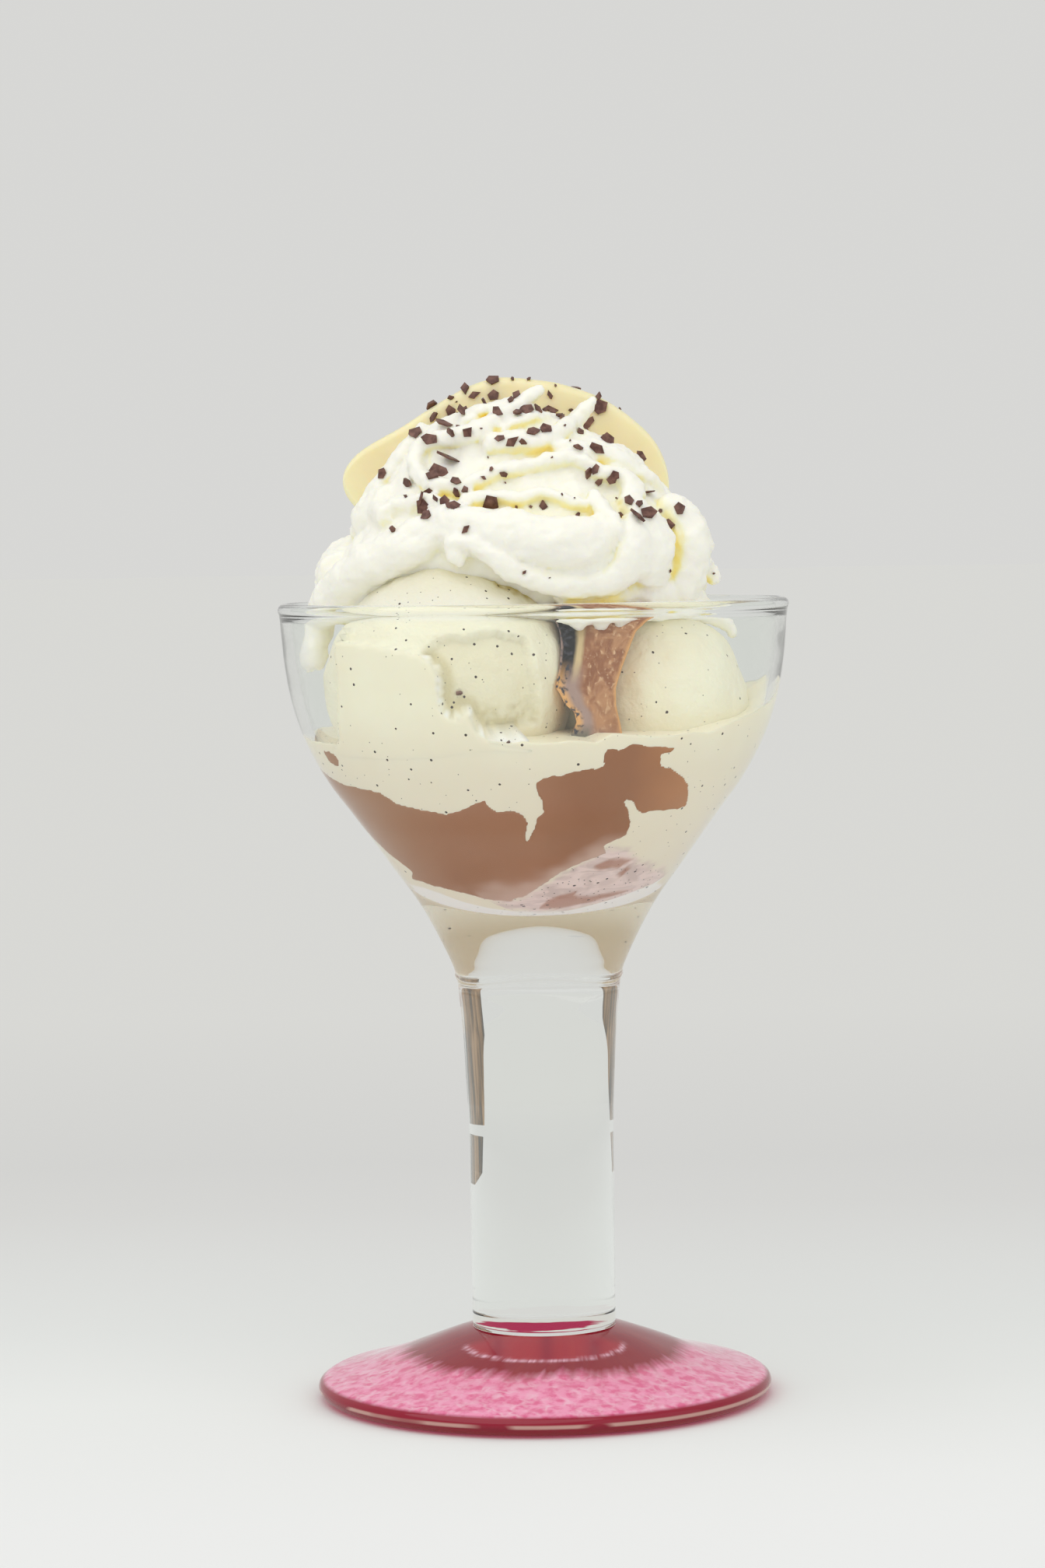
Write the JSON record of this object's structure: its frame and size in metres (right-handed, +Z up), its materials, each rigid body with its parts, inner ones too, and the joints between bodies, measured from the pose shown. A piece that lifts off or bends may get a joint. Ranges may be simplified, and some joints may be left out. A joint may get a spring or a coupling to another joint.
{
  "type": "pear belle helene dessert in a stemmed glass",
  "caption": "Stemmed sundae glass with a ruby foot, filled with chocolate sauce, vanilla scoops, whipped cream, a pear half and chocolate flakes.",
  "frame": {"origin": "centre of the foot's underside, on the table", "axes": "+Z up, -Y to the viewer's side of the dessert, +X to the viewer's right"},
  "size_m": [0.11, 0.11, 0.2218],
  "materials": {
    "clear_glass": "clear, fire polished",
    "ruby_glass": "mottled ruby and pink glass, polished",
    "chocolate_sauce": "smooth milk chocolate sauce, glossy",
    "vanilla": "vanilla ice cream with fine dark specks, satin",
    "whipped_cream": "soft whipped cream, satin",
    "pear": "poached pear flesh, moist and translucent",
    "chocolate_flakes": "broken dark chocolate chips, satin"
  },
  "bodies": {
    "root": {"goblet": "clear_glass", "foot": "ruby_glass", "chocolate_sauce": "chocolate_sauce", "sauce_run": "chocolate_sauce", "melted_vanilla": "vanilla", "vanilla_scoop_left": "vanilla", "vanilla_scoop_right": "vanilla", "vanilla_scoop_back": "vanilla", "whipped_cream": "whipped_cream", "pear_half": "pear"}
  },
  "joints": []
}
